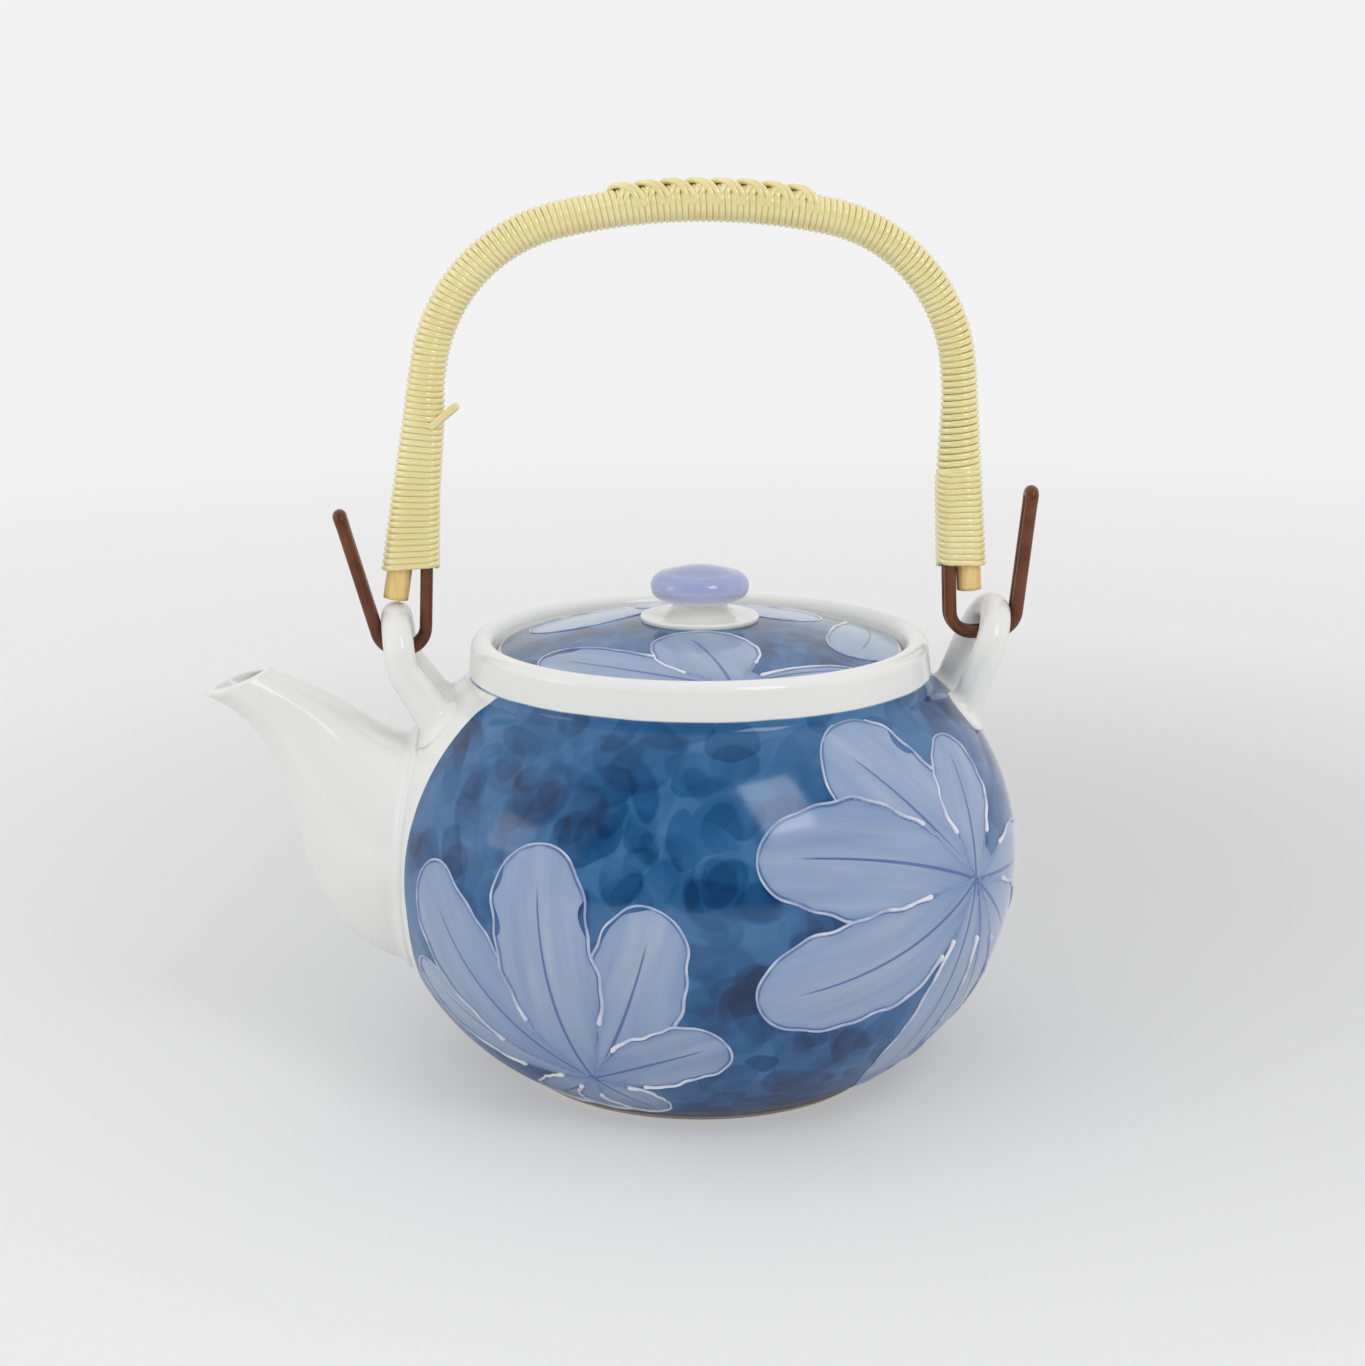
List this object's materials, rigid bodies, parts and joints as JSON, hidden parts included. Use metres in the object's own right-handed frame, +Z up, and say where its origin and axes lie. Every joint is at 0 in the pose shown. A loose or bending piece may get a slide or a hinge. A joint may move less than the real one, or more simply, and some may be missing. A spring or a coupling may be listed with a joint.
{
  "type": "porcelain teapot",
  "caption": "Squat porcelain teapot with an S-shaped spout, a lift-off domed lid with a button knob, and a cord-wound cane bail that swings in ear lugs.",
  "frame": {"origin": "centre of the foot ring on the table", "axes": "+Z up along the pot's axis, -X towards the spout, the bail swings about X"},
  "size_m": [0.2032, 0.156, 0.2177],
  "materials": {
    "porcelain": "gloss glaze over blue painting",
    "knob_glaze": "gloss lilac-blue glaze",
    "cane": "bare peeled cane",
    "cord": "pale yellow plastic cord",
    "hook_wire": "brown plastic-covered wire"
  },
  "bodies": {
    "pot": {"pot_body": "porcelain", "pot_shoulder": "porcelain", "pot_collar": "porcelain", "spout": "porcelain", "strainer": "porcelain", "front_lug": "porcelain", "rear_lug": "porcelain"},
    "lid": {"lid": "porcelain", "lid_knob": "knob_glaze"},
    "bail": {"handle_cane": "cane", "grip_wrap": "cord", "grip_plait": "cord", "front_binding": "cord", "rear_binding": "cord", "front_hook": "hook_wire", "rear_hook": "hook_wire"}
  },
  "joints": [
    {"name": "lid_lift", "type": "slide", "parent": "pot", "child": "lid", "axis": [0, 0, 1], "range_m": [0, 0.075]},
    {"name": "bail_swing", "type": "hinge", "parent": "pot", "child": "bail", "pos_m": [0, 0, 0.10305], "axis": [1, 0, 0], "range_deg": [-75, 75]}
  ]
}
